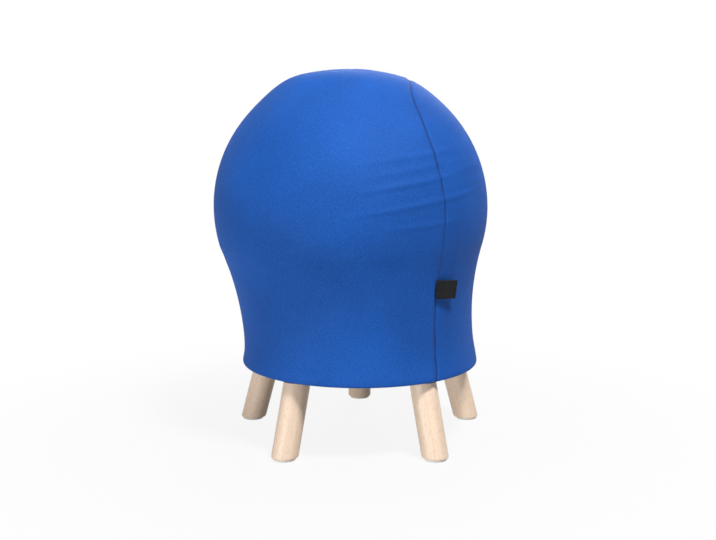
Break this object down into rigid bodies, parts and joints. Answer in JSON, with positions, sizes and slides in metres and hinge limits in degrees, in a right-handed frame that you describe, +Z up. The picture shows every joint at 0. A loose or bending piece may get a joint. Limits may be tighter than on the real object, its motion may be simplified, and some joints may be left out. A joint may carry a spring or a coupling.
{
  "type": "ball stool",
  "caption": "Wobble stool: a sitting ball in a stretch fabric cover on a low moulded ring base with splayed wooden legs; it rocks every way and bounces.",
  "frame": {"origin": "on the floor under the middle of the ball", "axes": "+Z up, the front with the label faces -Y, +X to the right seen from the front"},
  "size_m": [0.45, 0.45, 0.604],
  "materials": {
    "cover_fabric": "matte blue stretch knit",
    "label_weave": "matte black weave",
    "beech": "pale beech, satin clear lacquer",
    "base_plastic": "matt black moulding",
    "glide_plastic": "matt off-white",
    "ball_skin": "satin grey vinyl",
    "valve_plastic": "matt white",
    "elastic": "matt black flat elastic",
    "steel": "zinc plated",
    "brass": "plain"
  },
  "bodies": {
    "base": {"base_shell": "base_plastic", "leg_front_right": "beech", "leg_right": "beech", "leg_back": "beech", "leg_left": "beech", "leg_front_left": "beech", "glides": "glide_plastic", "glide_nails": "steel", "hanger_bolts": "steel", "threaded_inserts": "brass", "hem_elastic": "elastic"},
    "lower_cover": {"cover_lower": "cover_fabric"},
    "middle_cover": {"cover_middle": "cover_fabric", "label_tab": "label_weave"},
    "seat": {"seat_ball": "ball_skin", "valve_plug": "valve_plastic", "cover_top": "cover_fabric"}
  },
  "joints": [
    {"name": "seat_tilt_fore_aft", "type": "hinge", "parent": "base", "child": "lower_cover", "pos_m": [0, 0, 0.157], "axis": [1, 0, 0], "range_deg": [-6, 6], "stiffness_Nm_per_rad": 150, "deforming": ["cover_lower", "seat_ball"]},
    {"name": "seat_tilt_side", "type": "hinge", "parent": "lower_cover", "child": "middle_cover", "pos_m": [0, 0, 0.157], "axis": [0, 1, 0], "range_deg": [-6, 6], "stiffness_Nm_per_rad": 150, "deforming": ["cover_middle", "seat_ball"]},
    {"name": "seat_bounce", "type": "slide", "parent": "middle_cover", "child": "seat", "axis": [0, 0, 1], "range_m": [-0.03, 0], "stiffness_N_per_m": 15000, "springref_m": 0.0017, "deforming": ["cover_middle", "seat_ball"]}
  ]
}
